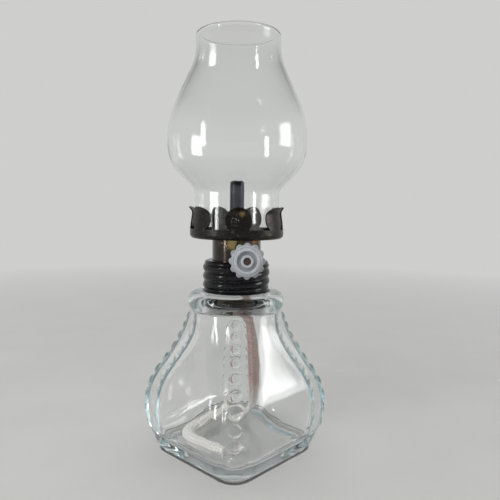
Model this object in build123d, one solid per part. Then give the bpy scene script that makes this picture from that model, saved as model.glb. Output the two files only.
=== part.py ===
"""Miniature oil lamp: square glass font, screw burner with a round wick, glass chimney.

Millimetres. Z is up, the origin is under the middle of the foot, and the knob faces -Y.
"""
from build123d import *
from math import cos, hypot, pi, radians, sin, sqrt, tan
import os

# Glass font: foot and body
FOOT_HALF = 27.9  # half width across the flats
FOOT_CORNER_R = 9.5
FOOT_H = 2.8
FOOT_HOLLOW = 1.2  # depth of the shallow hollow under the foot
FOOT_RIM = 5.0  # width of the rim that it stands on
BELLY_HALF = 33.6  # half width across the flats where the body is widest
BODY_H = 64.4
# Share of the height, share of the way from the top's half width to the belly's,
# and corner radius as a share of the half width
BODY_SHAPE = (
    (0.00, 0.68, 0.44),
    (0.12, 0.88, 0.45),
    (0.30, 1.00, 0.46),
    (0.46, 0.92, 0.51),
    (0.63, 0.56, 0.61),
    (0.81, 0.19, 0.76),
    (1.00, 0.00, 0.97),
)
GLASS_WALL = 4.2
GLASS_FLOOR = 7.0  # height of the cavity's floor above the table
FLOOR_ROUND_R = 4.0  # rounding of the cavity's floor into its walls
THROAT_H = 5.5  # height over which the cavity narrows to the neck's bore
THROAT_STEP = 0.4  # narrow ledge where the bore begins

# Beads down the four corners
BEADS = 10  # in each corner
BEAD_MAX_R = 3.9  # where the body is widest; the others shrink with it
BEAD_SINK = 0.75  # share of a bead's radius that lies inside the corner
BEAD_TOP_DROP = 2.6  # first bead, below the collar ring
BEAD_BOTTOM_RISE = 9.8  # last bead, above the foot
BEAD_CROWDING = 0.78  # below 1 the beads lie closer together towards the top

# Collar ring and neck
RING_R = 22.2
RING_H = 8.8
RING_SINK = 1.0  # ring sunk into the body's top
RING_OVERHANG = 1.8  # ring wider than the body's top
NECK_R = 13.3
NECK_BORE_R = 10.6
NECK_H = 12.2  # above the collar ring
LIP_ROUND_R = 0.6  # rounding of the neck's upper edges

# Screw cap and washer
SHEET = 0.5  # sheet metal of the cap, the drum, its floor and the ratchet box
WASHER_T = 1.2
WASHER_INSET = 0.2  # washer inside the neck's lip at both edges
THREAD_ROOM = 0.85  # radial room between neck and cap, for the thread
THREAD_PITCH = 4.0
THREAD_DEPTH = 0.75
CAP_TURNS = 3
CAP_SHOULDER_R = 1.3  # rounding of the cap's top edge
CAP_FLARE = 1.0  # how far the cap's lower edge spreads
CAP_FLARE_H = 0.6

# Burner drum and gallery
DRUM_R = 11.2
DRUM_RISE = 10.1  # gallery above the cap's top
VENT_R = 0.8  # hole in the drum's floor
GALLERY_SHEET = 0.6
CHIMNEY_ROOM = 1.65  # radial room between the chimney and the gallery's wall
GALLERY_BAND_H = 4.3  # unbroken wall under the petals
GALLERY_BENDS = (0.45, 0.12, 0.40)  # share of the shorter run taken by each bend
PETALS = 7
PETAL_R = 5.7
PETAL_RISE = 8.5  # petal's centre above the gallery's underside
PETAL_LEAN = 1.1  # how far a petal leans in at its waist
PETAL_WAIST_RISE = 3.5  # waist above the petal's centre
PETAL_FLARE = 2.2  # how far its tip turns out again
PETAL_TURN = 2.0  # degrees that the front petal stands to the right of -Y
AIR_HOLES = 12
AIR_HOLE_R = 1.5

# Wick and its tube
WICK_R = 2.6
WICK_ROOM = 0.3  # wick to tube
WICK_TUBE_WALL = 0.35
TUBE_ABOVE = 26.0  # tube above the gallery's underside
TUBE_BELOW = 10.4  # tube below the drum's floor
WICK_SHOWN = 1.0  # wick above the tube
WICK_UP = 8.0  # travel of the wick
WICK_DOWN = 3.0
TAIL_ROOM = 0.3  # lying wick to the cavity's floor
TAIL_WALL_ROOM = 0.8  # lying wick to the cavity's wall
TAIL_ROUTE = (  # shares of the reach in X and Y, share of the drop from the tube to the floor
    (0.00, 0.00, 1.000),
    (0.00, 0.00, 0.735),
    (0.06, 0.06, 0.455),
    (0.23, 0.21, 0.205),
    (0.27, 0.39, 0.050),
    (-0.04, 0.51, 0.000),
    (-0.47, 0.27, 0.000),
    (-0.90, -0.06, 0.000),
    (-0.84, -0.43, 0.000),
    (-0.49, -0.72, 0.000),
    (-0.14, -0.94, 0.000),
)
TAIL_BEND = 0.45  # share of the shorter run taken by each bend

# Wick raiser: spindle, star wheels, ratchet box, knob
SPINDLE_R = 0.9
SPINDLE_RISE = 2.4  # above the cap's top
SPINDLE_ROOM = 0.25  # spindle to wick tube
RUNNING = 0.06  # radial running clearance of the spindle
FIT = 0.03  # radial clearance of soldered and pressed pieces
RIVET_R = 1.5  # riveted ends of the spindle
RIVET_T = 0.6
BUSH_R = 1.7
BUSH_L = 4.0
WHEEL_TEETH = 8
WHEEL_BITE = 0.75  # how deep the teeth reach into the wick
WHEEL_TOOTH = 0.85
WHEEL_T = 0.8
WHEEL_PITCH = 2.4  # front wheel to rear wheel
WHEEL_ROOM = 0.3  # clear space round the wheels
BOX_HALF_H = 2.2
KNOB_R = 7.6
KNOB_LOBES = 12
LOBE_R = 1.9
VALLEY_R = 0.6  # rounding between the lobes
KNOB_PLATE_T = 3.4
KNOB_FACE_R = 5.4
KNOB_FACE_T = 0.9
KNOB_GROOVE_R = 4.2  # outer radius of the groove in the knob's face
KNOB_GROOVE = 1.2  # its depth
KNOB_HUB_R = 2.65
KNOB_HUB_L = 3.0  # hub behind the plate
KNOB_EDGE_R = 0.5
KNOB_REACH = 30.0  # knob's face from the lamp's axis

# Chimney
FITTER_R = 19.15
FITTER_H = 21.8
BULB_R = 31.2
BULB_FLARE_H = 11.7
BULB_H = 18.5
TAPER_H = 27.5
TOP_R = 18.8
TOP_H = 10.4
CHIMNEY_WALL = 1.8
CHIMNEY_BENDS = (0.15, 0.45, 0.50, 0.60)  # share of the shorter run taken by each bend

# Levels and radii that follow from the sizes above
TOP_HALF = RING_R - RING_OVERHANG
RING_Z = FOOT_H + BODY_H - RING_SINK
NECK_Z = RING_Z + RING_H
LIP_Z = NECK_Z + NECK_H
FLANGE_Z = LIP_Z + WASHER_T
CAP_TOP = FLANGE_Z + 2 * SHEET
CAP_R = NECK_R + THREAD_ROOM + SHEET
GALLERY_Z = CAP_TOP + DRUM_RISE
GALLERY_R = FITTER_R + CHIMNEY_ROOM + GALLERY_SHEET
WASHER_R = NECK_R - WASHER_INSET
SEAT_Z = GALLERY_Z + GALLERY_SHEET
WICK_TUBE_R = WICK_R + WICK_ROOM + WICK_TUBE_WALL
TUBE_LOW = FLANGE_Z - TUBE_BELOW
TUBE_TOP = GALLERY_Z + TUBE_ABOVE
WICK_TOP = TUBE_TOP + WICK_SHOWN
SPINDLE_X = WICK_TUBE_R + SPINDLE_ROOM + SPINDLE_R
SPINDLE_Z = CAP_TOP + SPINDLE_RISE
WHEEL_R = SPINDLE_X - WICK_R + WHEEL_BITE
WINDOW_HALF = WHEEL_PITCH / 2 + WHEEL_T / 2 + WHEEL_ROOM
BOX_HALF_W = WINDOW_HALF + WHEEL_ROOM + SHEET
LYING_Z = GLASS_FLOOR + TAIL_ROOM + WICK_R
TAIL_REACH = TOP_HALF + BODY_SHAPE[1][1] * (BELLY_HALF - TOP_HALF) - GLASS_WALL - WICK_R - TAIL_WALL_ROOM


def rounded_square(height, half, corner):
    """Rounded square at a height, with a corner towards -Y."""
    return Plane.XY.offset(height) * Rot(0, 0, 45) * RectangleRounded(2 * half, 2 * half, corner)


def ring(radius, bore, low, high):
    """Plain ring about the lamp's axis."""
    return extrude(Plane.XY.offset(low) * (Circle(radius) - Circle(bore)), high - low)


def pin(radius, low, high):
    """Plain round bar along +Z."""
    return extrude(Plane.XY.offset(low) * Circle(radius), high - low)


def on_spindle(solid, reach=0.0):
    """Put a solid made along +Z on the spindle's axis, that far out towards -Y."""
    place = Plane(origin=(SPINDLE_X, -reach, SPINDLE_Z), x_dir=(1, 0, 0), z_dir=(0, -1, 0))
    return place * solid


def bend_radii(points, shares):
    """Radius of the arc at each inner point, which takes its share of the shorter run beside it."""
    radii = []
    for before, here, after, share in zip(points, points[1:], points[2:], shares):
        run_in = Vector(*here) - Vector(*before)
        run_out = Vector(*after) - Vector(*here)
        half_turn = radians(run_in.get_angle(run_out)) / 2
        radii.append(share * min(run_in.length, run_out.length) / tan(half_turn))
    return radii


def bent_sheet(points, shares, thickness):
    """Sheet turned about the lamp's axis, on the left of a line that bends at the points."""
    line = FilletPolyline(*points, radius=bend_radii(points, shares))
    band = offset(line, amount=thickness, side=Side.LEFT)
    return revolve(Plane.XZ * make_face(band), Axis.Z)


def body_sections(inset=0.0):
    """Height, half width and corner radius of each section of the body, or of its cavity."""
    sections = []
    for high, wide, soft in BODY_SHAPE:
        half = TOP_HALF + wide * (BELLY_HALF - TOP_HALF)
        corner = min(soft * half, 0.97 * (half - inset))
        sections.append((FOOT_H + high * BODY_H, half - inset, corner))
    return sections


def make_beads(body):
    """Beads down the four corners, each set a little into the corner that it sits on."""
    top = RING_Z - BEAD_TOP_DROP
    bottom = FOOT_H + BEAD_BOTTOM_RISE
    seats = []
    for i in range(BEADS):
        t = i / (BEADS - 1)
        z = top + (bottom - top) * (BEAD_CROWDING * t + (1 - BEAD_CROWDING) * t * t)
        crossings = body.find_intersection_points(Axis((0, 0, z), (0, -1, 0)))
        seats.append((max(hypot(point.X, point.Y) for point, normal in crossings), z))
    widest = max(seats)[0]
    beads = []
    for tip, z in seats:
        radius = BEAD_MAX_R * sqrt(tip / widest)
        bead = Pos(0, BEAD_SINK * radius - tip, z) * Rot(90, 0, 0) * Sphere(radius)
        beads += [Rot(0, 0, 90 * turn) * bead for turn in range(4)]
    return beads


def make_font():
    body = loft([rounded_square(*section) for section in body_sections()])
    foot = extrude(rounded_square(0, FOOT_HALF, FOOT_CORNER_R), FOOT_H)
    collar = pin(RING_R, RING_Z, NECK_Z)
    collar = fillet(collar.edges().filter_by(GeomType.CIRCLE), 0.47 * RING_H)
    neck = pin(NECK_R, RING_Z, LIP_Z)
    neck = fillet(neck.edges().group_by(Axis.Z)[-1], LIP_ROUND_R)

    walls = [section for section in body_sections(GLASS_WALL) if section[0] > GLASS_FLOOR]
    low, half, corner = walls[0]
    floor = (GLASS_FLOOR, half - 0.4 * (low - GLASS_FLOOR), corner)
    wide = NECK_BORE_R + THROAT_STEP
    throat = (RING_Z + THROAT_H, wide, 0.97 * wide)
    cavity = loft([rounded_square(*section) for section in [floor] + walls + [throat]])
    cavity = fillet(cavity.edges().group_by(Axis.Z)[0], FLOOR_ROUND_R)
    bore = pin(NECK_BORE_R, RING_Z + THROAT_H - WASHER_T, LIP_Z)
    hollow = extrude(rounded_square(0, FOOT_HALF - FOOT_RIM, FOOT_CORNER_R - FOOT_RIM), FOOT_HOLLOW)
    return body + foot + collar + neck + make_beads(body) - cavity - bore - hollow


def cap_line(inset):
    """Section of the cap's sheet from the drum to the lower edge, that far inside its outer skin."""
    side = CAP_R - inset
    shoulder = CAP_TOP - CAP_SHOULDER_R
    flat_end = CAP_R - CAP_SHOULDER_R
    edges = [Line((DRUM_R + FIT, CAP_TOP - inset), (flat_end, CAP_TOP - inset))]
    edges.append(CenterArc((flat_end, shoulder), CAP_SHOULDER_R - inset, 0, 90))
    for i in range(CAP_TURNS):
        high = shoulder - i * THREAD_PITCH
        middle = (side + THREAD_DEPTH, high - THREAD_PITCH / 2)
        edges.append(ThreePointArc((side, high), middle, (side, high - THREAD_PITCH)))
    low = shoulder - CAP_TURNS * THREAD_PITCH
    edges.append(Line((side, low), (side + CAP_FLARE, low - CAP_FLARE_H)))
    return edges


def make_cap():
    outer = cap_line(0.0)
    inner = cap_line(SHEET)
    top_edge = Line(outer[0] @ 0, inner[0] @ 0)
    low_edge = Line(outer[-1] @ 1, inner[-1] @ 1)
    return revolve(Plane.XZ * make_face(outer + inner + [top_edge, low_edge]), Axis.Z)


def make_drum():
    drum = ring(DRUM_R, DRUM_R - SHEET, FLANGE_Z, GALLERY_Z)
    flange = ring(WASHER_R, DRUM_R - SHEET, FLANGE_Z, FLANGE_Z + SHEET)
    return drum + flange - on_spindle(pin(BUSH_R + FIT, 0, 2 * DRUM_R))


def make_drum_floor():
    disc = ring(DRUM_R - SHEET - FIT, WICK_TUBE_R + FIT, FLANGE_Z, FLANGE_Z + SHEET)
    middle = (DRUM_R - SHEET + WICK_TUBE_R) / 2
    return disc - Pos(-middle, 0, 0) * pin(VENT_R, FLANGE_Z, FLANGE_Z + SHEET)


def make_gallery():
    waist = GALLERY_Z + PETAL_RISE + PETAL_WAIST_RISE
    tip = GALLERY_Z + PETAL_RISE + PETAL_R
    line = [
        (WICK_TUBE_R + FIT, GALLERY_Z),
        (GALLERY_R, GALLERY_Z),
        (GALLERY_R, GALLERY_Z + GALLERY_BAND_H),
        (GALLERY_R - PETAL_LEAN, waist),
        (GALLERY_R - PETAL_LEAN + PETAL_FLARE, tip),
    ]
    dish = bent_sheet(line, GALLERY_BENDS, GALLERY_SHEET)
    kept = pin(1.5 * GALLERY_R, GALLERY_Z - SHEET, GALLERY_Z + GALLERY_BAND_H)
    petal = Rot(90, 0, 0) * pin(PETAL_R, 0.75 * GALLERY_R, 1.25 * GALLERY_R)
    petal = Pos(0, 0, GALLERY_Z + PETAL_RISE) * petal
    for i in range(PETALS):
        kept += Rot(0, 0, PETAL_TURN + 360 / PETALS * i) * petal
    hole_line = (DRUM_R + FITTER_R - CHIMNEY_WALL) / 2
    holes = PolarLocations(hole_line, AIR_HOLES) * pin(AIR_HOLE_R, GALLERY_Z, SEAT_Z)
    return (dish & kept) - holes


def make_wick_tube():
    tube = ring(WICK_TUBE_R, WICK_TUBE_R - WICK_TUBE_WALL, TUBE_LOW, TUBE_TOP)
    window = Pos(WICK_TUBE_R, 0, SPINDLE_Z) * Box(2 * WICK_TUBE_R, 2 * WINDOW_HALF, 2 * WHEEL_R)
    return tube - window


def make_ratchet_box():
    back = SPINDLE_X + WHEEL_R + WHEEL_ROOM
    strap = Pos((back + SHEET) / 2, 0, SPINDLE_Z) * Box(back + SHEET, 2 * BOX_HALF_W, 2 * BOX_HALF_H)
    inside = Pos(back / 2, 0, SPINDLE_Z) * Box(back, 2 * (BOX_HALF_W - SHEET), 2 * BOX_HALF_H)
    tube = pin(WICK_TUBE_R + FIT, TUBE_LOW, TUBE_TOP)
    return strap - inside - tube - on_spindle(pin(SPINDLE_R + RUNNING, -DRUM_R, DRUM_R))


def make_bush():
    wall = sqrt(DRUM_R**2 - SPINDLE_X**2)
    bush = pin(BUSH_R, wall - BUSH_L / 2, wall + BUSH_L / 2)
    return on_spindle(bush - pin(SPINDLE_R + RUNNING, wall - BUSH_L, wall + BUSH_L))


def make_spindle():
    rear = -BOX_HALF_W - WHEEL_ROOM - RIVET_T
    front = KNOB_REACH - KNOB_GROOVE + RIVET_T
    shaft = pin(SPINDLE_R, rear, front)
    return on_spindle(shaft + pin(RIVET_R, rear, rear + RIVET_T) + pin(RIVET_R, front - RIVET_T, front))


def make_star_wheel(reach):
    corners = []
    for i in range(2 * WHEEL_TEETH):
        radius = WHEEL_R - WHEEL_TOOTH * (i % 2)
        angle = pi * (1 + i / WHEEL_TEETH)
        corners.append((radius * cos(angle), radius * sin(angle)))
    flat = make_face(Polyline(*corners, close=True)) - Circle(SPINDLE_R + FIT)
    return on_spindle(extrude(flat, WHEEL_T), reach - WHEEL_T / 2)


def make_knob():
    back = -KNOB_FACE_T - KNOB_PLATE_T
    lobed = Circle(KNOB_R - LOBE_R) + PolarLocations(KNOB_R - LOBE_R, KNOB_LOBES) * Circle(LOBE_R)
    lobed = fillet(lobed.vertices(), VALLEY_R)
    plate = extrude(Plane.XY.offset(back) * lobed, KNOB_PLATE_T)
    rims = plate.edges().group_by(Axis.Z)
    plate = fillet(rims[0] + rims[-1], KNOB_EDGE_R)
    face = pin(KNOB_FACE_R, back, 0)
    face = fillet(face.edges().group_by(Axis.Z)[-1], KNOB_EDGE_R)
    groove = ring(KNOB_GROOVE_R, KNOB_HUB_R, -KNOB_GROOVE, 0)
    hub = pin(KNOB_HUB_R, back - KNOB_HUB_L, back)
    seat = pin(RIVET_R + FIT, -KNOB_GROOVE, 0)
    bore = pin(SPINDLE_R + FIT, back - KNOB_HUB_L, 0)
    return on_spindle(plate + face + hub - groove - seat - bore, KNOB_REACH)


def make_wick():
    wick = pin(WICK_R, TUBE_LOW, WICK_TOP)
    bottom = SPINDLE_Z - WHEEL_R - WICK_UP - WHEEL_ROOM
    top = SPINDLE_Z + WHEEL_R + WICK_DOWN + WHEEL_ROOM
    face = SPINDLE_X - WHEEL_R - WHEEL_ROOM
    groove = Box(WICK_R, 2 * WICK_R, top - bottom, align=(Align.MIN, Align.CENTER, Align.MIN))
    return wick - Pos(face, 0, bottom) * groove


def make_wick_tail():
    drop = TUBE_LOW - LYING_Z
    points = [(x * TAIL_REACH, y * TAIL_REACH, LYING_Z + share * drop) for x, y, share in TAIL_ROUTE]
    radii = bend_radii(points, [TAIL_BEND] * len(points))
    path = FilletPolyline(*points, radius=radii)
    tail = sweep(Plane(origin=path @ 0, z_dir=path % 0) * Circle(WICK_R), path=path)
    print("wick tail bends, mm:", [round(radius, 1) for radius in radii])
    print("wick tail length, mm:", round(path.length, 1))
    print("its volume over a straight bar's:", round(tail.volume / (pi * WICK_R**2 * path.length), 4))
    return tail


def make_chimney():
    radii = (FITTER_R, FITTER_R, BULB_R, BULB_R, TOP_R, TOP_R)
    rises = (0.0, FITTER_H, BULB_FLARE_H, BULB_H, TAPER_H, TOP_H)
    line = [(radius, SEAT_Z + sum(rises[:i + 1])) for i, radius in enumerate(radii)]
    chimney = bent_sheet(line, CHIMNEY_BENDS, CHIMNEY_WALL)
    return fillet(chimney.edges().group_by(Axis.Z)[-1], 0.45 * CHIMNEY_WALL)


solids = {
    "font_bowl": make_font(),
    "neck_washer": ring(WASHER_R, NECK_BORE_R + WASHER_INSET, LIP_Z, FLANGE_Z),
    "screw_cap": make_cap(),
    "burner_drum": make_drum(),
    "drum_floor": make_drum_floor(),
    "gallery": make_gallery(),
    "wick_tube": make_wick_tube(),
    "ratchet_box": make_ratchet_box(),
    "spindle_bush": make_bush(),
    "spindle": make_spindle(),
    "star_wheel_front": make_star_wheel(WHEEL_PITCH / 2),
    "star_wheel_rear": make_star_wheel(-WHEEL_PITCH / 2),
    "wick_knob": make_knob(),
    "wick": make_wick(),
    "wick_tail": make_wick_tail(),
    "chimney": make_chimney(),
}

os.makedirs("parts", exist_ok=True)
for name, solid in solids.items():
    export_step(solid, f"parts/{name}.step")
    print(name, "valid", solid.is_valid, "volume", round(solid.volume, 1), "solids", len(solid.solids()))
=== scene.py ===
"""Miniature oil lamp: beaded glass font, screw burner with a round wick, glass chimney.

Sizes are in millimetres and are those of the solids. Z is up and the knob faces -Y.
"""
from functools import partial
from math import cos, pi, sin

import bpy
import numpy as np
from mathutils import Matrix, Vector


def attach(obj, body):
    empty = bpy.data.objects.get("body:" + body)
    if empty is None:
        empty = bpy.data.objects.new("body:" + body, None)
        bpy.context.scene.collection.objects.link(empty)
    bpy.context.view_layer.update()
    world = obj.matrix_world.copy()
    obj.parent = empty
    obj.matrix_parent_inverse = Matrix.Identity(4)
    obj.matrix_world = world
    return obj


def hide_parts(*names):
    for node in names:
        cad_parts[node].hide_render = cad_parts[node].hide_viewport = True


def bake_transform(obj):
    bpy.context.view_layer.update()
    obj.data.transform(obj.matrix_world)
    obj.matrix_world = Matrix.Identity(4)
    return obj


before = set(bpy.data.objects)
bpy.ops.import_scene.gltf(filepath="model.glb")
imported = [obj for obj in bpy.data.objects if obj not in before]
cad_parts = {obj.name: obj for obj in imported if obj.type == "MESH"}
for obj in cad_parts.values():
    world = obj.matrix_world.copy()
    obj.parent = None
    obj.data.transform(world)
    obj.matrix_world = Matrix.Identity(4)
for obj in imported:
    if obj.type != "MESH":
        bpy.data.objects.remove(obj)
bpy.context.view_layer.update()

MM = 0.001

# Glass font: height, half width across the flats and corner radius of its body
BODY_Z = (2.8, 10.5, 22.1, 32.4, 43.4, 55.0, 67.2)
BODY_HALF = (29.4, 32.0, 33.6, 32.5, 27.8, 22.9, 20.4)
BODY_CORNER = (12.9, 14.4, 15.5, 16.6, 17.0, 17.4, 19.8)
BODY_LOW = 3.6  # where its plain walls start and end
BODY_HIGH = 66.6
FOOT_HALF = 27.9
FOOT_CORNER = 9.5
CAVITY_Z = (7.0, 10.5, 22.1, 32.4, 43.4, 55.0, 65.0)
CAVITY_HALF = (26.4, 27.8, 29.4, 28.3, 23.6, 18.7, 16.6)
CAVITY_CORNER = (14.4, 14.4, 15.5, 16.6, 17.0, 17.4, 16.1)
THROAT_Z = 71.0  # where the cavity has narrowed to the bore
FLOOR_Z = 7.0
FLOOR_ROUND = 5.5
BEADS = 10
BEAD_WIDE = 2.75  # half width of the largest
BEAD_H = 0.38  # height as a share of the half width
BEAD_TOP = 63.6
BEAD_BOTTOM = 12.6
BEAD_CROWD = 0.22  # how much closer together they are at the top
RIB_H = 0.45  # rib that carries the beads
RIB_ENDS = (7.0, 12.0, 62.0, 66.0)  # heights where it starts, is full, is last full and ends
PANEL_DEPTH = 0.25  # panels between the ribs
PANEL_EDGE = 3.0  # width of the slope from rib to panel
RING_R = 22.2
RING_Z = 70.6  # middle of the collar ring
RING_H = 8.8
RING_ROUND = 4.14
RING_FULL = 0.7  # below 1 it is fuller than a half round
NECK_R = 13.3
NECK_Z = 75.0
NECK_LOW = 75.5  # where its straight wall starts and ends
NECK_HIGH = 86.5
LIP_Z = 87.2
BORE_R = 10.6

# Thread of the neck and the cap
PITCH = 4.0
THREAD_DEPTH = 0.75
THREAD_LOW = 76.1  # height of a crest on the +X side
NECK_THREAD = (75.8, 77.0, 85.0, 86.3)  # heights where it starts, is full, is last full and ends
CAP_THREAD = (76.4, 77.6, 86.9, 88.2)
CAP_TOP = 89.4
CAP_LOW = 75.5
CAP_R = 14.65
CAP_FLARE = 1.0  # how far its lower edge turns out
CAP_FLARE_Z = 76.3
CAP_SHEET = 0.5
CAP_HOLE_R = 11.5

# Wick raiser
SPINDLE_X = 4.4
SPINDLE_Z = 91.8
KNOB_FACE = 30.0  # front of the knob from the lamp's axis
KNOB_R = 7.6
LOBES = 12
LOBE_H = 0.95
RIM_LOW = 6.5  # radii between which the lobes grow to their full height
RIM_FULL = 7.2

# Wick
WICK_R = 2.6
WICK_LOW = 78.0
WICK_ROOM = 4.0  # space between its two parts in the cap, for winding it down
WICK_TOP = 126.5
WICK_RAGGED = 1.6  # length of its ragged top
WICK_TROUGH = (81.1, 97.6)  # flat side that the star wheels grip
WICK_FLAT = 1.55  # from the axis to that flat side
FRAY = 7.0  # length of its frayed low end
FRAY_TIP = 2.0  # length over which the tufts there stand out
BRAID_DEPTH = 0.28
BRAID_LAY = 2.6  # length of one crossing
LYING_Z = 9.9  # middle of the wick where it lies on the font's floor
TAIL_ROUTE = (
    (0.0, 0.0, WICK_LOW), (0.6, 0.2, 75.5), (4.8, 1.5, 70.5), (5.9, 2.0, 60.0),
    (6.6, 3.2, 43.0), (7.2, 5.4, 25.0), (6.2, 9.0, 13.3),
    (-1.0, 11.5, LYING_Z), (-11.0, 5.6, LYING_Z), (-20.8, -2.2, LYING_Z),
    (-19.4, -10.6, LYING_Z), (-10.4, -18.0, LYING_Z), (-1.0, -24.2, LYING_Z),
)

# Chimney: middle line of its wall
CHIMNEY_WALL = 1.8
CHIMNEY_LINE = (
    (18.25, 101.0), (18.25, 121.9), (30.3, 133.6),
    (30.3, 152.1), (17.9, 179.6), (17.9, 189.1),
)
CHIMNEY_BENDS = (0.15, 0.45, 0.50, 0.60)
CHIMNEY_STRAIGHT = 118.0  # its fitter is true up to here
CHIMNEY_WAVY = 140.0  # its waves are full from here


# Shapes

def rise(x, low, high):
    """Smooth step from 0 at low to 1 at high, 3t² - 2t³ between them."""
    t = np.clip((x - low) / (high - low), 0.0, 1.0)
    return t * t * (3 - 2 * t)


def between_ends(x, ends):
    """1 between the two middle ends, and smoothly down to 0 at the outer two."""
    start, full, last_full, stop = ends
    return rise(x, start, full) * (1 - rise(x, last_full, stop))


def smooth_through(knots, values, at):
    """Cubic spline through the values at the knots; its second slopes solve one linear system."""
    x = np.array(knots, float)
    y = np.array(values, float)
    gap = np.diff(x)
    inner = np.arange(1, len(x) - 1)
    system = np.eye(len(x))
    system[inner, inner - 1] = gap[:-1]
    system[inner, inner] = 2 * (gap[:-1] + gap[1:])
    system[inner, inner + 1] = gap[1:]
    right = np.zeros(len(x))
    right[inner] = 6 * np.diff(np.diff(y) / gap)
    bend = np.linalg.solve(system, right)
    k = np.clip(np.searchsorted(x, at) - 1, 0, len(x) - 2)
    b = (at - x[k]) / gap[k]
    a = 1 - b
    straight = a * y[k] + b * y[k + 1]
    return straight + ((a**3 - a) * bend[k] + (b**3 - b) * bend[k + 1]) * gap[k] ** 2 / 6


def evenly(points, steps):
    """Even steps along the line through points: their distances from its start, and their places."""
    along = np.concatenate([[0], np.cumsum(np.linalg.norm(np.diff(points, axis=0), axis=1))])
    even = np.linspace(0, along[-1], steps)
    return even, np.stack([np.interp(even, along, points[:, i]) for i in range(points.shape[1])], 1)


def bent_line(corners, shares, steps):
    """Evenly spaced points on a line that rounds each inner corner on a parabola.

    The parabola is (1-t)² a + 2t(1-t) corner + t² b, where a and b lie the corner's share of the
    shorter run beside it away from it.
    """
    corners = np.array(corners, float)
    t = np.linspace(0, 1, 13)[:, None]
    bits = [corners[:1]]
    for before, here, after, share in zip(corners, corners[1:], corners[2:], shares):
        run_in = np.linalg.norm(here - before)
        run_out = np.linalg.norm(after - here)
        reach = share * min(run_in, run_out)
        a = here + (before - here) * reach / run_in
        b = here + (after - here) * reach / run_out
        bits.append((1 - t) ** 2 * a + 2 * t * (1 - t) * here + t**2 * b)
    return evenly(np.concatenate(bits + [corners[-1:]]), steps)[1]


def sheet_loop(line, thickness, steps=6):
    """Closed outline of a sheet: half its thickness to each side of a line, and half-round ends."""
    along = np.gradient(line, axis=0)
    along /= np.linalg.norm(along, axis=1, keepdims=True)
    across = np.stack([along[:, 1], -along[:, 0]], 1)
    half = thickness / 2
    turn = np.linspace(0, pi, steps + 2)[1:-1, None]
    far = line[-1] + half * (np.cos(turn) * across[-1] + np.sin(turn) * along[-1])
    near = line[0] - half * (np.cos(turn) * across[0] + np.sin(turn) * along[0])
    return np.concatenate([line + half * across, far, (line - half * across)[::-1], near])


def square_radius(half, corner, angle):
    """Distance from the axis to a rounded square whose corners lie on the X and Y axes.

    With f the angle from the middle of the nearest flat and k = half - corner, it is half / cos f on
    the flat and k (cos f + sin f) + sqrt(corner² - k² (1 - sin 2f)) on the corner.
    """
    f = np.abs(angle % (pi / 2) - pi / 4)
    k = half - corner
    arc = k * (np.cos(f) + np.sin(f)) + np.sqrt(np.maximum(corner**2 - k**2 * (1 - np.sin(2 * f)), 0))
    return np.where(half * np.tan(f) <= k, half / np.cos(f), arc)


def add(name, data):
    """New object in the scene."""
    thing = bpy.data.objects.new(name, data)
    bpy.context.scene.collection.objects.link(thing)
    return thing


def grid_piece(name, grid, finish, body, nodes, poles=False, weave=None):
    """Piece over a grid of points whose columns run round and join up, with a weave's height at each.

    The last row joins the first, or with poles each end closes in a fan about its middle. The faces
    are turned outwards by the sign of the volume, the sum of a · (b × c) over the triangles.
    """
    rows, columns = grid.shape[:2]
    points = grid.reshape(-1, 3) * MM
    row = np.arange(rows - 1 if poles else rows)[:, None]
    column = np.arange(columns)[None, :]
    after = (column + 1) % columns
    here = row * columns
    above = (row + 1) % rows * columns
    corners = np.broadcast_arrays(here + column, here + after, above + after, above + column)
    quads = np.stack(corners, -1).reshape(-1, 4)
    fans = np.zeros((0, 3), int)
    if poles:
        first, last = column[0], (rows - 1) * columns + column[0]
        middles = np.stack([points[:columns].mean(0), points[-columns:].mean(0)])
        points = np.concatenate([points, middles])
        top = np.full(columns, len(points) - 1)
        fans = np.concatenate([
            np.stack([top - 1, np.roll(first, -1), first], 1),
            np.stack([top, last, np.roll(last, -1)], 1),
        ])
    triangles = np.concatenate([quads[:, [0, 1, 2]], quads[:, [0, 2, 3]], fans])
    a, b, c = (points[triangles[:, i]] for i in range(3))
    if (a * np.cross(b, c)).sum() < 0:
        quads, fans = quads[:, ::-1], fans[:, ::-1]
    mesh = bpy.data.meshes.new(name)
    mesh.from_pydata(points.tolist(), [], quads.tolist() + fans.tolist())
    mesh.polygons.foreach_set("use_smooth", np.ones(len(mesh.polygons), bool))
    mesh.materials.append(finish)
    if weave is not None:
        level = np.zeros(len(points), np.float32)
        level[:weave.size] = weave.ravel()
        mesh.attributes.new("weave", "FLOAT", "POINT").data.foreach_set("value", level)
    piece = add(name, mesh)
    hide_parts(*nodes)
    if body:
        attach(piece, body)
    return piece


def around(radius, z, angle):
    """Points at a distance from the lamp's axis and a height, at each angle."""
    return np.stack([radius * np.cos(angle), radius * np.sin(angle), z + 0 * radius], -1)


def thread(z, angle, ends):
    """Relief of a right-hand rolled thread: sqrt(cos² πp + 0.01) of its depth, with p the number of
    pitches above the crest's climb of one pitch a turn, which gives round crests and tight valleys."""
    p = (z - THREAD_LOW) / PITCH - angle / (2 * pi)
    return THREAD_DEPTH * between_ends(z, ends) * np.sqrt(np.cos(pi * p) ** 2 + 0.01)


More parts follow.
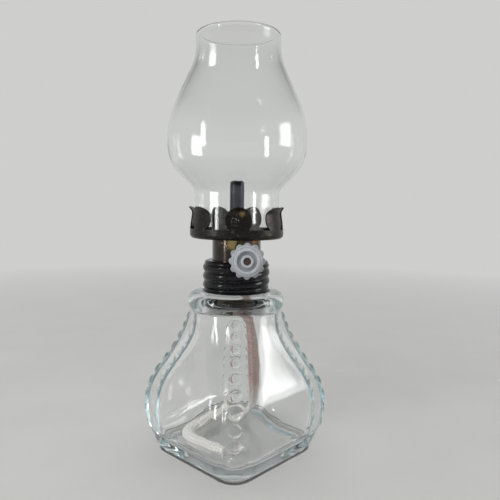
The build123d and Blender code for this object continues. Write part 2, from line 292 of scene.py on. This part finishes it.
def font_stations():
    """Height, half width, corner radius and part of each row of the font.

    The rows start in the hollow under the foot, go up the outside over the collar ring and the
    threaded neck, and down the bore and the cavity's wall to its floor. Parts: 1 body, 2 neck, 0 other.
    """
    foot = np.array([
        (1.2, 3.5, 0.8), (1.2, 9.2, 1.8), (1.2, 16.0, 3.2), (1.2, 22.4, 4.2), (0.6, 22.9, 4.5),
        (0.1, 23.2, 4.8), (0.0, 23.8, 5.4), (0.0, 27.0, 8.6), (0.15, 27.6, 9.2),
        (0.6, FOOT_HALF, FOOT_CORNER), (1.4, FOOT_HALF, FOOT_CORNER), (2.2, FOOT_HALF, FOOT_CORNER),
        (2.6, 27.75, 9.4), (2.85, 27.9, 9.7), (3.2, 28.7, 11.6),
    ])
    z = np.linspace(BODY_LOW, BODY_HIGH, 280)
    body = np.stack([z, smooth_through(BODY_Z, BODY_HALF, z), smooth_through(BODY_Z, BODY_CORNER, z)], 1)
    turn = np.radians(np.linspace(-32, 90, 20))
    r = RING_R - RING_ROUND + RING_ROUND * np.maximum(np.cos(turn), 0) ** RING_FULL
    ring = np.stack([RING_Z + RING_H / 2 * np.sin(turn), r, r], 1)
    top = np.array([(NECK_Z, 16.0, 16.0), (NECK_Z, 14.2, 14.2), (75.2, 13.5, 13.5)])
    z = np.linspace(NECK_LOW, NECK_HIGH, 34)
    neck = np.stack([z, 0 * z + NECK_R, 0 * z + NECK_R], 1)
    lip = np.array([
        (86.8, 13.2, 13.2), (87.1, 13.0, 13.0), (LIP_Z, 12.7, 12.7), (LIP_Z, 11.2, 11.2),
        (87.1, 10.9, 10.9), (86.8, 10.7, 10.7), (86.4, BORE_R, BORE_R), (84.0, BORE_R, BORE_R),
        (81.0, BORE_R, BORE_R), (78.0, BORE_R, BORE_R), (75.0, BORE_R, BORE_R), (72.4, BORE_R, BORE_R),
    ])
    shoulder = CAVITY_Z[-1]
    turn = np.radians(np.linspace(90, 8, 12))
    r = CAVITY_HALF[-1] - (CAVITY_HALF[-1] - BORE_R) * (1 - np.cos(turn))
    z = shoulder + (THROAT_Z - shoulder) * np.sin(turn)
    throat = np.stack([z, r, np.minimum(r, CAVITY_CORNER[-1])], 1)
    z = np.linspace(shoulder, FLOOR_Z + FLOOR_ROUND, 46)
    half = smooth_through(CAVITY_Z, CAVITY_HALF, z)
    corner = smooth_through(CAVITY_Z, CAVITY_CORNER, z)
    wall = np.stack([z, half, corner], 1)
    turn = np.radians(np.linspace(12, 90, 8))
    inset = FLOOR_ROUND * (1 - np.cos(turn))
    z = FLOOR_Z + FLOOR_ROUND * (1 - np.sin(turn))
    low = np.stack([z, half[-1] - inset, corner[-1] - inset], 1)
    floor = low[-1] * np.array([(1.0, 0.75, 0.75), (1.02, 0.45, 0.45), (1.03, 0.15, 0.15)])
    parts = [foot, body, ring, top, neck, lip, throat, wall, low, floor]
    kinds = [0, 1, 0, 0, 2, 0, 0, 0, 0, 0]
    part = np.concatenate([np.full(len(rows), kind) for rows, kind in zip(parts, kinds)])
    return np.concatenate(parts), part


def make_font(finish):
    """Font as one closed skin. Each row is a rounded square. Over the body the skin moves along its
    normal: in for a panel on each side, and out for the ribs between them and their beads, which are
    h sqrt(1 - d² / w²) high at a distance d from their middle, with w their half width, so that they
    rise steeply at their edge. The neck carries the thread."""
    rows, part = font_stations()
    z, half, corner = rows.T[:, :, None]
    t = np.linspace(-1, 1, 56, endpoint=False)
    quadrant = pi / 4 * (0.28 * t + 0.72 * t**3)  # closer together at the corner
    angle = np.concatenate([quadrant + pi / 2 * i for i in range(4)])[None, :]
    radius = square_radius(half, corner, angle)

    on_body = part == 1
    tip = square_radius(half, corner, np.zeros((1, 1)))[on_body, 0]
    height = z[on_body, 0]
    length = np.concatenate([[0], np.cumsum(np.hypot(np.diff(tip), np.diff(height)))])
    out = np.gradient(height, length)[:, None]
    up = -np.gradient(tip, length)[:, None]
    aside = radius[on_body] * ((angle + pi / 4) % (pi / 2) - pi / 4)
    ends = between_ends(height, RIB_ENDS)
    wide = (BEAD_WIDE * (tip / tip.max()) ** 0.8)[:, None]
    panel = rise(np.abs(aside), wide, wide + PANEL_EDGE)
    bump = (RIB_H - (RIB_H + PANEL_DEPTH) * panel) * ends[:, None]
    down = np.linspace(0, 1, BEADS)
    down = (1 - BEAD_CROWD) * down + BEAD_CROWD * down**2
    for bead_z in BEAD_TOP + (BEAD_BOTTOM - BEAD_TOP) * down:
        wide_here = np.interp(bead_z, height, wide[:, 0])
        away = np.hypot(aside, (length - np.interp(bead_z, height, length))[:, None])
        bump += BEAD_H * wide_here * np.sqrt(np.maximum(1 - (away / wide_here) ** 2, 0))
    radius[on_body] += bump * out
    z = z + 0 * angle
    z[on_body] += bump * up

    on_neck = part == 2
    radius[on_neck] += thread(z[on_neck], angle, NECK_THREAD)
    grid = around(radius, z, angle)
    return grid_piece("font_glass", grid, finish, "font", ["font_bowl"], poles=True)


def make_chimney(finish):
    """Chimney as the outline of its wall turned about the axis. Above the fitter its radius waves with
    the angle a, as blown glass does: by 0.14 cos(2a + 0.7) + 0.08 cos(3a - z / 9)."""
    loop = sheet_loop(bent_line(CHIMNEY_LINE, CHIMNEY_BENDS, 130), CHIMNEY_WALL, 8)
    angle = np.linspace(0, 2 * pi, 192, endpoint=False)[None, :]
    r, z = loop.T[:, :, None]
    swell = rise(z, CHIMNEY_STRAIGHT, CHIMNEY_WAVY)
    wave = swell * (0.14 * np.cos(2 * angle + 0.7) + 0.08 * np.cos(3 * angle - z / 9))
    grid = around(r + wave, z, angle)
    return grid_piece("chimney_glass", grid, finish, "chimney", ["chimney"])


def make_cap(finish):
    """Screw cap as a bent sheet turned about the axis, with the thread rolled into its skirt."""
    middle = CAP_R - CAP_SHEET / 2
    top = CAP_TOP - CAP_SHEET / 2
    corners = [(CAP_HOLE_R, top), (middle, top), (middle, CAP_FLARE_Z), (middle + CAP_FLARE, CAP_LOW)]
    loop = sheet_loop(bent_line(corners, (0.45, 0.5), 120), CAP_SHEET)
    angle = np.linspace(0, 2 * pi, 192, endpoint=False)[None, :]
    r, z = loop.T[:, :, None]
    grid = around(r + thread(z, angle, CAP_THREAD), z, angle)
    return grid_piece("cap_skin", grid, finish, "burner", ["screw_cap"])


def make_knob(finish):
    """Knob as a closed outline turned about the spindle. Past the face's rim its radius follows the
    lobes: at an angle a it is less by h ((1 - cos 12a) / 2)^1.5."""
    corners = [
        (0.95, -1.2), (1.55, -1.2), (1.6, 0.0), (2.6, 0.0), (2.7, -1.25), (4.1, -1.25),
        (4.2, 0.0), (5.2, 0.0), (5.4, -0.6), (6.25, -0.5), (6.5, -1.4), (KNOB_R, -1.6),
        (KNOB_R, -4.2), (2.7, -4.3), (2.6, -7.3), (0.95, -7.3),
    ]
    loop = bent_line(corners, [0.3] + [0.35] * 13, 190)
    angle = np.linspace(0, 2 * pi, 240, endpoint=False)[None, :]
    r, d = loop.T[:, :, None]
    valley = LOBE_H * (0.5 - 0.5 * np.cos(LOBES * angle)) ** 1.5
    r = r - rise(r, RIM_LOW, RIM_FULL) * valley
    x = SPINDLE_X + r * np.cos(angle)
    z = SPINDLE_Z + r * np.sin(angle)
    grid = np.stack([x, -KNOB_FACE - d + 0 * r, z], -1)
    return grid_piece("knob_moulding", grid, finish, "knob", ["wick_knob"])


def braid(around_it, along_it):
    """Surface of a round braid, -1 to 1: strands that cross both ways give rows of small lumps."""
    return np.cos(4 * around_it + along_it) * np.cos(4 * around_it - along_it)


def make_wick(finish):
    """Upright part of the wick: a rod whose radius is less by the braid's depth times 1 - weave.

    A flat trough on one side takes the star wheels, and sums of sines of the angle make its top ragged.
    """
    low = WICK_LOW + WICK_ROOM
    bottom = [0.8, 1.6, 2.3]
    top = [2.5, 2.1, 1.6, 1.0, 0.4]
    shaft = np.linspace(low, WICK_TOP - 0.1, 220)
    z = np.concatenate([np.full(len(bottom), low), shaft, np.full(len(top), WICK_TOP)])[:, None]
    r = np.concatenate([bottom, np.full(len(shaft), WICK_R), top])[:, None]
    angle = np.linspace(0, 2 * pi, 96, endpoint=False)[None, :]
    weave = braid(angle, 2 * pi * z / BRAID_LAY)
    lumps = BRAID_DEPTH * (weave - 1) * rise(r, 2.2, WICK_R)
    ragged = rise(z, WICK_TOP - WICK_RAGGED, WICK_TOP)
    tufts = 0.35 * np.sin(5 * angle + 2.1 * r) + 0.3 * np.sin(9 * angle - 3.0 * r + 1.0)
    tufts = tufts + 0.25 * np.cos(4.3 * r)
    radius = r + lumps * (1 - ragged) + 0.1 * ragged * (1 - tufts)
    grid = around(radius, z + ragged * (0.4 * tufts - 0.6), angle)
    trough = (z > WICK_TROUGH[0]) & (z < WICK_TROUGH[1])
    grid[..., 0] = np.where(trough, np.minimum(grid[..., 0], WICK_FLAT), grid[..., 0])
    return grid_piece("wick_braid", grid, finish, "wick", ["wick"], poles=True, weave=weave)


def spline_points(name, route):
    """Points in millimetres along the smooth spline that a route's points pull."""
    curve = bpy.data.curves.new(name, "CURVE")
    curve.dimensions = "3D"
    curve.resolution_u = 24
    spline = curve.splines.new("NURBS")
    spline.points.add(len(route) - 1)
    points = np.array([(x * MM, y * MM, z * MM, 1.0) for x, y, z in route])
    spline.points.foreach_set("co", points.ravel())
    spline.order_u = 3
    spline.use_endpoint_u = True
    line = add(name, curve)
    now = bpy.context.evaluated_depsgraph_get()
    traced = bpy.data.meshes.new_from_object(line.evaluated_get(now))
    path = np.zeros(len(traced.vertices) * 3)
    traced.vertices.foreach_get("co", path)
    bpy.data.objects.remove(line)
    return path.reshape(-1, 3) / MM


def make_tail(finish):
    """Limp end of the wick in the font: a braid carried along its route's spline, frayed at the end.

    At each point n = w - (w · t) t and t × n span the section, with t the way the wick runs and w a
    direction that it never takes.
    """
    path = spline_points("wick_route", TAIL_ROUTE)
    s, middle = evenly(path, 640)
    length = s[-1]
    t = np.gradient(middle, axis=0)
    t /= np.linalg.norm(t, axis=1, keepdims=True)
    w = np.array([0.5, 0.5, 0.707])
    n = w - (t @ w)[:, None] * t
    n /= np.linalg.norm(n, axis=1, keepdims=True)
    side = np.cross(t, n)
    angle = np.linspace(0, 2 * pi, 72, endpoint=False)[None, :, None]
    s = s[:, None, None]
    weave = braid(angle, 2 * pi * s / BRAID_LAY)
    lumps = BRAID_DEPTH * (weave - 1)
    fray = rise(s, length - FRAY, length)
    tip = rise(s, length - FRAY_TIP, length)
    tufts = 0.5 * np.sin(7 * angle + s) + 0.4 * np.sin(11 * angle - 2 * s)
    r = WICK_R + lumps + fray * (0.3 * tufts - 0.2)
    grid = middle[:, None, :] + r * (np.cos(angle) * n[:, None, :] + np.sin(angle) * side[:, None, :])
    grid = grid + fray * 0.8 * tufts * t[:, None, :] * tip
    nodes = ["wick_tail"]
    piece = grid_piece("wick_tail_braid", grid, finish, None, nodes, poles=True, weave=weave)
    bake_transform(piece)
    return piece


# Finishes

def join(tree, value, socket):
    """Link an output to a socket, or set the socket's value."""
    if isinstance(value, bpy.types.NodeSocket):
        tree.links.new(value, socket)
    else:
        socket.default_value = value


def math_node(tree, operation, first, second):
    """Output of one Math node on two values."""
    node = tree.nodes.new("ShaderNodeMath")
    node.operation = operation
    join(tree, first, node.inputs[0])
    join(tree, second, node.inputs[1])
    return node.outputs[0]


class Finish:
    """A material with help for its nodes. Patterns read the piece's own coordinates, in metres."""

    def __init__(self, name, **settings):
        self.material = bpy.data.materials.new(name)
        self.material.use_nodes = True
        self.tree = self.material.node_tree
        self.shader = self.tree.nodes["Principled BSDF"]
        self.place = self.node("ShaderNodeTexCoord").outputs["Object"]
        for socket, value in settings.items():
            self.shader.inputs[socket.replace("_", " ")].default_value = value

    def node(self, kind, **inputs):
        """New node with values or links on its inputs, by name."""
        node = self.tree.nodes.new(kind)
        for socket, value in inputs.items():
            self.set(node, socket.replace("_", " "), value)
        return node

    def set(self, node, socket, value):
        """Link an output to a node's socket, or set the socket's value."""
        join(self.tree, value, node.inputs[socket])

    def noise(self, size, detail=4.0, stretch=(1, 1, 1), roughness=0.55, turn=(0, 0, 0)):
        """Soft noise with lumps of about that size in millimetres, turned and stretched."""
        scale = [1 / (size * MM * s) for s in stretch]
        place = self.node("ShaderNodeMapping", Vector=self.place, Rotation=turn).outputs[0]
        place = self.node("ShaderNodeMapping", Vector=place, Scale=scale).outputs[0]
        settings = {"Scale": 1.0, "Detail": detail, "Roughness": roughness}
        return self.node("ShaderNodeTexNoise", Vector=place, **settings).outputs[0]

    def between(self, value, low, high, first=0.0, last=1.0):
        """Value carried from low..high to first..last, and held at the ends."""
        names = {"From_Min": low, "From_Max": high, "To_Min": first, "To_Max": last}
        return self.node("ShaderNodeMapRange", Value=value, **names).outputs[0]

    def mix(self, share, first, second):
        """Colour that goes from the first to the second."""
        node = self.tree.nodes.new("ShaderNodeMix")
        node.data_type = "RGBA"
        self.set(node, 0, share)
        for socket, colour in ((6, first), (7, second)):
            self.set(node, socket, colour if isinstance(colour, bpy.types.NodeSocket) else (*colour, 1))
        return node.outputs[2]

    def math(self, operation, first, second):
        """Result of one sum on two values."""
        return math_node(self.tree, operation, first, second)

    def multiply(self, first, second):
        """Product of two values."""
        return self.math("MULTIPLY", first, second)

    def along(self, axis):
        """Distance along X, Y or Z in metres, Z from the table."""
        return self.node("ShaderNodeSeparateXYZ", Vector=self.place).outputs[axis]

    def near(self, spot, reach):
        """1 on a ragged patch about a spot and 0 past its reach, in millimetres."""
        away = self.tree.nodes.new("ShaderNodeVectorMath")
        away.operation = "DISTANCE"
        self.set(away, 0, self.place)
        self.set(away, 1, [x * MM for x in spot])
        torn = self.between(self.noise(0.9, 6.0, roughness=0.75), 0.3, 0.7, 0.4, 1.6)
        return self.between(self.multiply(away.outputs["Value"], torn), reach * MM, 0.5 * reach * MM)

    def bump(self, height, depth):
        """Relief of that depth in millimetres."""
        node = self.node("ShaderNodeBump", Height=height, Distance=depth * MM, Strength=1.0)
        self.set(self.shader, "Normal", node.outputs[0])

    def feed(self, **sockets):
        """Link outputs to the shader's sockets."""
        for socket, value in sockets.items():
            self.set(self.shader, socket.replace("_", " "), value)


def clear_glass(name, tint, density, wave, depth, ripple):
    """Old pressed or blown glass: faintly tinted through its thickness, by a density for each metre, with
    soft waves of a length and a depth, fine ripples of another depth, and thin smears."""
    glass = Finish(name, Base_Color=(1, 1, 1, 1), Transmission_Weight=1.0, IOR=1.5)
    smear = glass.noise(9.0, 5.0)
    glass.feed(Roughness=glass.between(smear, 0.5, 0.8, 0.0, 0.06))
    waves = glass.multiply(glass.noise(wave, 2.0), depth)
    glass.bump(glass.math("ADD", waves, glass.multiply(glass.noise(1.8, 3.0), ripple)), 1.0)
    volume = glass.node("ShaderNodeVolumeAbsorption", Color=(*tint, 1), Density=density)
    glass.tree.links.new(volume.outputs[0], glass.tree.nodes["Material Output"].inputs["Volume"])
    return glass.material


def black_enamel():
    """Gloss black paint with dust in it and a little brown where it has worn."""
    paint = Finish("black_enamel", Specular_IOR_Level=0.3)
    dust = paint.between(paint.noise(1.4, 6.0), 0.55, 0.80)
    worn = paint.between(paint.noise(4.0, 6.0, roughness=0.7), 0.62, 0.74)
    colour = paint.mix(dust, (0.004, 0.004, 0.005), (0.020, 0.020, 0.023))
    paint.feed(Base_Color=paint.mix(worn, colour, (0.035, 0.022, 0.014)))
    paint.feed(Roughness=paint.between(dust, 0, 1, 0.16, 0.34))
    paint.bump(paint.noise(0.8, 3.0), 0.012)
    return paint.material


def blackened_brass():
    """Brass under a near-black patina: worn to brown gold on the petals, scratched, dusty. The gold grows
    towards the petal tops, partly as wear and partly as painted light.
    """
    metal = Finish("blackened_brass", Metallic=0.85)
    grime = metal.noise(2.4, 5.0)
    fine = metal.noise(0.5, 3.0)
    # painted light with wear: brass patches are weak low down and full near the tops, lightening the
    # upper petals where they lean out to the light
    upper_wear_and_light = metal.between(metal.along("Z"), 0.104, 0.111, 0.3, 1.0)
    patch = metal.multiply(metal.between(metal.noise(4.2, 5.0, roughness=0.65), 0.60, 0.78), upper_wear_and_light)
    patch = metal.math("MAXIMUM", patch, metal.near((2.3, -20.1, 110.8), 1.6))
    strokes = metal.noise(0.7, 1.0, stretch=(0.35, 0.35, 4.0), turn=(0.5, 0.7, 0.2))
    rubbed = metal.multiply(metal.between(strokes, 0.60, 0.64), metal.near((-1.0, -20.2, 108.2), 2.4))
    scratch = metal.math("MAXIMUM", metal.between(strokes, 0.75, 0.78), rubbed)
    dark = metal.mix(grime, (0.010, 0.009, 0.009), (0.042, 0.038, 0.036))
    colour = metal.mix(patch, dark, metal.mix(fine, (0.08, 0.055, 0.03), (0.34, 0.24, 0.11)))
    metal.feed(Base_Color=metal.mix(scratch, colour, (0.62, 0.58, 0.50)))
    metal.feed(Roughness=metal.between(grime, 0.3, 0.7, 0.24, 0.44))
    metal.bump(metal.noise(1.2, 4.0), 0.05)
    return metal.material


def drum_brass():
    """Drum: dark brown lacquer, speckled, worn to gold under the gallery and rusty on the right."""
    metal = Finish("drum_brass", Metallic=0.9, Coat_Weight=0.5, Coat_Roughness=0.10)
    speck = metal.noise(0.5, 4.0)
    high = metal.between(metal.along("Z"), 0.0935, 0.0985)
    worn = metal.multiply(metal.between(metal.noise(3.4, 6.0, roughness=0.7), 0.56, 0.68), high)
    worn = metal.math("MAXIMUM", worn, metal.near((-1.9, -11.0, 97.6), 3.2))
    right = metal.between(metal.along("X"), 0.004, 0.009)
    rust = metal.multiply(metal.between(metal.noise(2.6, 6.0), 0.42, 0.60), right)
    dark = metal.mix(speck, (0.005, 0.004, 0.003), (0.038, 0.028, 0.022))
    colour = metal.mix(worn, dark, metal.mix(speck, (0.20, 0.14, 0.04), (0.46, 0.35, 0.15)))
    rusty = metal.mix(speck, (0.10, 0.03, 0.01), (0.26, 0.10, 0.035))
    metal.feed(Base_Color=metal.mix(rust, colour, rusty))
    metal.feed(Roughness=metal.between(speck, 0.3, 0.7, 0.12, 0.26))
    metal.bump(speck, 0.02)
    return metal.material


def dull_brass():
    """Unpolished brass of the inner pieces."""
    brass = Finish("plain_brass", Metallic=1.0)
    stain = brass.noise(2.0, 5.0)
    brass.feed(Base_Color=brass.mix(stain, (0.50, 0.36, 0.15), (0.16, 0.10, 0.05)))
    brass.feed(Roughness=brass.between(stain, 0.3, 0.7, 0.3, 0.55))
    brass.bump(brass.noise(0.4), 0.01)
    return brass.material


def rusty_steel():
    """Spindle: dark steel with brown rust."""
    steel = Finish("spindle_steel", Metallic=0.7)
    rust = steel.between(steel.noise(0.8, 6.0), 0.4, 0.62)
    steel.feed(Base_Color=steel.mix(rust, (0.09, 0.08, 0.085), (0.11, 0.055, 0.04)))
    steel.feed(Roughness=steel.between(rust, 0, 1, 0.35, 0.75))
    steel.bump(steel.noise(0.5, 5.0), 0.06)
    return steel.material


def sooty_tube():
    """Wick tube: blue-black from heat, streaked upwards."""
    tube = Finish("sooty_tube", Metallic=0.9)
    streak = tube.noise(0.6, 4.0, stretch=(1, 1, 14))
    soot = tube.between(tube.along("Z"), 0.108, 0.127)
    colour = tube.mix(streak, (0.012, 0.014, 0.022), (0.045, 0.047, 0.058))
    tube.feed(Base_Color=tube.mix(soot, colour, (0.008, 0.009, 0.012)))
    tube.feed(Roughness=tube.between(streak, 0.3, 0.7, 0.28, 0.55))
    tube.bump(streak, 0.03)
    return tube.material


def knob_plastic():
    """Cloudy grey plastic that lets some light through, with painted light on its raised front and
    painted shade with some grime deeper down, in the groove and back onto the lobes.
    """
    plastic = Finish("knob_plastic", Transmission_Weight=0.45, IOR=1.49)
    cloud = plastic.noise(2.2, 5.0)
    speck = plastic.between(plastic.noise(0.35, 2.0), 0.70, 0.76)
    # painted light and shade, partly grime: pale on the raised front face, dark from 1.3 mm behind it, in
    # the groove and on the lobes
    groove = plastic.between(plastic.along("Y"), -KNOB_FACE * MM, (1.3 - KNOB_FACE) * MM)
    pale = plastic.mix(cloud, (0.58, 0.61, 0.65), (0.78, 0.81, 0.85))
    grime_and_shade = plastic.mix(cloud, (0.38, 0.41, 0.44), (0.53, 0.56, 0.60))
    colour = plastic.mix(groove, pale, grime_and_shade)
    plastic.feed(Base_Color=plastic.mix(speck, colour, (0.16, 0.16, 0.18)))
    plastic.feed(Roughness=plastic.between(cloud, 0.3, 0.7, 0.10, 0.26))
    plastic.bump(plastic.noise(0.5, 3.0), 0.02)
    return plastic.material


def washer_rubber():
    """Washer: dry black rubber."""
    rubber = Finish("washer_rubber")
    bloom = rubber.noise(1.2, 5.0)
    rubber.feed(Base_Color=rubber.mix(bloom, (0.02, 0.02, 0.02), (0.07, 0.065, 0.06)))
    rubber.feed(Roughness=rubber.between(bloom, 0.3, 0.7, 0.6, 0.9))
    rubber.bump(rubber.noise(0.3), 0.02)
    return rubber.material


def cotton(name, stain, char=None):
    """Braided cotton, cream, with painted shade darkening the gaps of the braid. Going up from the first
    of two heights to the second, old oil stains it pink-brown, and a flame, if it has met one, chars it
    black."""
    yarn = Finish(name, Sheen_Weight=0.3, Sheen_Roughness=0.5)
    fibre = yarn.noise(0.22, 4.0)
    blotch = yarn.noise(3.0, 4.0)
    cream = yarn.mix(fibre, (0.50, 0.48, 0.45), (0.80, 0.79, 0.77))
    cream = yarn.mix(yarn.between(blotch, 0.5, 0.8, 0.0, 0.5), cream, (0.56, 0.52, 0.46))
    stained = yarn.mix(fibre, (0.22, 0.15, 0.14), (0.52, 0.39, 0.36))
    height = yarn.along("Z")
    colour = yarn.mix(yarn.between(height, stain[0] * MM, stain[1] * MM), cream, stained)
    weave = yarn.node("ShaderNodeAttribute")
    weave.attribute_name = "weave"
    # painted shade: the braid's gaps are darkened halfway towards a near-black brown
    gap = yarn.between(weave.outputs["Fac"], -1.0, 0.4, 0.55, 1.0)
    colour = yarn.mix(gap, yarn.mix(0.5, (0.05, 0.04, 0.035), colour), colour)
    if char:
        black = yarn.mix(fibre, (0.006, 0.006, 0.007), (0.030, 0.028, 0.028))
        colour = yarn.mix(yarn.between(height, char[0] * MM, char[1] * MM), colour, black)
    yarn.feed(Base_Color=colour)
    yarn.feed(Roughness=yarn.between(fibre, 0.3, 0.7, 0.8, 1.0))
    yarn.bump(fibre, 0.12)
    return yarn.material


# The lamp

font_glass = clear_glass(
    "font_glass", tint=(0.66, 0.76, 0.77), density=13.0, wave=14.0, depth=0.10, ripple=0.008,
)
chimney_glass = clear_glass(
    "chimney_glass", tint=(0.58, 0.70, 0.68), density=50.0, wave=22.0, depth=0.10, ripple=0.0,
)
brass = dull_brass()

make_tail(cotton("cotton_tail", stain=(14, 30)))
make_wick(cotton("cotton_wick", stain=(60, 70), char=(116, 124)))
glass = [make_font(font_glass), make_chimney(chimney_glass)]
make_cap(black_enamel())
make_knob(knob_plastic())

node_finishes = {
    "neck_washer": washer_rubber(),
    "burner_drum": drum_brass(),
    "drum_floor": brass,
    "gallery": blackened_brass(),
    "wick_tube": sooty_tube(),
    "ratchet_box": brass,
    "spindle_bush": brass,
    "spindle": rusty_steel(),
    "star_wheel_front": brass,
    "star_wheel_rear": brass,
}
for node, finish in node_finishes.items():
    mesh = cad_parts[node].data
    mesh.materials.clear()
    mesh.materials.append(finish)


# Studio

BACKGROUND = (0.62, 0.62, 0.61)
AMBIENT = 0.6  # light from all round, as a share of the background
OVERHEAD = 0.3  # what gloss and glass see overhead, as a share of the background
OVERHEAD_FROM = 0.2  # sine of the angle above level at which that starts, and at which it is full
OVERHEAD_FULL = 0.65
KNOB_SIDE = 0.55  # share of the background that gloss misses on the side that the knob faces
FLOOR_FADE = (0.18, 0.75)  # metres from the lamp between which the floor becomes the background
SOFT_EDGE = 0.2  # share of a light over which it fades at each edge
GLASS_BOUNCES = 40  # light runs far along inside the thick glass


def make_floor():
    """Pale floor that fades into the background with distance from the lamp."""
    mesh = bpy.data.meshes.new("floor")
    size = 4.0
    corners = [(-size, -size, 0), (size, -size, 0), (size, size, 0), (-size, size, 0)]
    mesh.from_pydata(corners, [], [(0, 1, 2, 3)])
    floor = Finish("floor", Roughness=0.9, Specular_IOR_Level=0.1)
    grain = floor.noise(40.0, 3.0)
    tone = floor.between(grain, 0.3, 0.7)
    floor.feed(Base_Color=floor.mix(tone, (0.46, 0.46, 0.45), (0.48, 0.48, 0.47)))
    far = floor.node("ShaderNodeVectorMath", Vector=floor.place)
    far.operation = "LENGTH"
    glow = floor.node("ShaderNodeEmission", Color=(*BACKGROUND, 1), Strength=1.0)
    both = floor.tree.nodes.new("ShaderNodeMixShader")
    floor.set(both, 0, floor.between(far.outputs["Value"], *FLOOR_FADE))
    floor.set(both, 1, floor.shader.outputs[0])
    floor.set(both, 2, glow.outputs[0])
    floor.tree.links.new(both.outputs[0], floor.tree.nodes["Material Output"].inputs["Surface"])
    mesh.materials.append(floor.material)
    add("floor", mesh)


def make_world():
    """Pale background. Gloss and glass see it too, darker overhead, as in a room, and gloss sees the
    side that the knob faces darker still."""
    world = bpy.data.worlds.new("studio")
    world.use_nodes = True
    tree = world.node_tree
    math = partial(math_node, tree)
    way = tree.nodes.new("ShaderNodeSeparateXYZ")
    tree.links.new(tree.nodes.new("ShaderNodeTexCoord").outputs["Generated"], way.inputs[0])
    path = tree.nodes.new("ShaderNodeLightPath")
    over = tree.nodes.new("ShaderNodeMapRange")
    over.interpolation_type = "SMOOTHSTEP"
    tree.links.new(way.outputs["Z"], over.inputs["Value"])
    over.inputs["From Min"].default_value = OVERHEAD_FROM
    over.inputs["From Max"].default_value = OVERHEAD_FULL
    over.inputs["To Min"].default_value = 1.0
    over.inputs["To Max"].default_value = OVERHEAD
    room = over.outputs[0]
    facing = math("MAXIMUM", math("MULTIPLY", way.outputs["Y"], -1.0), 0.0)
    ahead = math("MULTIPLY", facing, KNOB_SIDE)
    gloss = math("MULTIPLY", path.outputs["Is Glossy Ray"], math("SUBTRACT", 1.0, ahead))
    bent = math("MULTIPLY", math("MAXIMUM", gloss, path.outputs["Is Transmission Ray"]), room)
    level = math("MAXIMUM", path.outputs["Is Camera Ray"], bent)
    plain = math("MULTIPLY", path.outputs["Is Diffuse Ray"], AMBIENT)
    seen = tree.nodes["Background"]
    seen.inputs["Color"].default_value = (*BACKGROUND, 1)
    tree.links.new(math("ADD", level, plain), seen.inputs["Strength"])
    bpy.context.scene.world = world


def softbox(name, place, aim, size, power, passes, mirrored=True):
    """Rectangular soft light, in metres and watts, that faces a point and fades towards its edges.

    The clear pieces that it passes cast no shadow in it. Gloss and glass show it only if it is mirrored.
    """
    light = bpy.data.lights.new(name, "AREA")
    light.shape = "RECTANGLE"
    light.size, light.size_y = size
    light.energy = power
    light.use_nodes = True
    tree = light.node_tree
    across = tree.nodes.new("ShaderNodeSeparateXYZ")
    tree.links.new(tree.nodes.new("ShaderNodeNewGeometry").outputs["Parametric"], across.inputs[0])
    fades = []
    for i in range(2):
        soft = tree.nodes.new("ShaderNodeMapRange")
        soft.interpolation_type = "SMOOTHSTEP"
        soft.inputs["From Max"].default_value = SOFT_EDGE
        inward = math_node(tree, "PINGPONG", across.outputs[i], 0.5)
        tree.links.new(inward, soft.inputs["Value"])
        fades.append(soft.outputs[0])
    tree.links.new(math_node(tree, "MULTIPLY", *fades), tree.nodes["Emission"].inputs["Strength"])
    lamp = add(name, light)
    lamp.location = place
    lamp.rotation_euler = (Vector(aim) - Vector(place)).to_track_quat("-Z", "Y").to_euler()
    lamp.visible_glossy = mirrored
    lamp.visible_transmission = mirrored
    clear = bpy.data.collections.new(name + "_passes")
    for piece in passes:
        clear.objects.link(piece)
        clear.collection_objects[-1].light_linking.link_state = "EXCLUDE"
    lamp.light_linking.blocker_collection = clear


def make_camera():
    """Camera where the photograph was taken from, a little above the burner."""
    place = (0, -0.23858, 0.11534)
    yaw, pitch, roll = 0.026, 0.0895, 0.0123
    forward = Vector((sin(yaw) * cos(pitch), cos(yaw) * cos(pitch), -sin(pitch)))
    right = Vector((cos(yaw), -sin(yaw), 0))
    up = right.cross(forward)
    x = cos(roll) * right + sin(roll) * up
    y = cos(roll) * up - sin(roll) * right
    data = bpy.data.cameras.new("camera")
    data.sensor_width = 36.0
    data.lens = 37.377
    data.clip_start = 0.01
    camera = add("camera", data)
    turn = Matrix((x, y, -forward)).transposed().to_4x4()
    camera.matrix_world = Matrix.Translation(place) @ turn
    bpy.context.scene.camera = camera


make_floor()
make_world()
softbox("window_left", (-0.95, -0.62, 0.20), (0, 0, 0.20), (0.14, 0.75), power=5.5, passes=glass)
softbox("window_right", (1.05, -0.14, 0.28), (0, 0, 0.10), (0.52, 0.50), power=5.0, passes=glass)
softbox("fill", (-0.70, -0.80, 0.85), (0, 0, 0.08), (0.9, 0.9), power=15.0, passes=glass, mirrored=False)
softbox("top", (0.0, 0.05, 1.10), (0, 0, 0.0), (0.9, 0.9), power=8.0, passes=glass, mirrored=False)
make_camera()
bpy.context.scene.view_settings.view_transform = "Standard"
cycles = bpy.context.scene.cycles
cycles.max_bounces = GLASS_BOUNCES
cycles.transmission_bounces = GLASS_BOUNCES
cycles.glossy_bounces = GLASS_BOUNCES
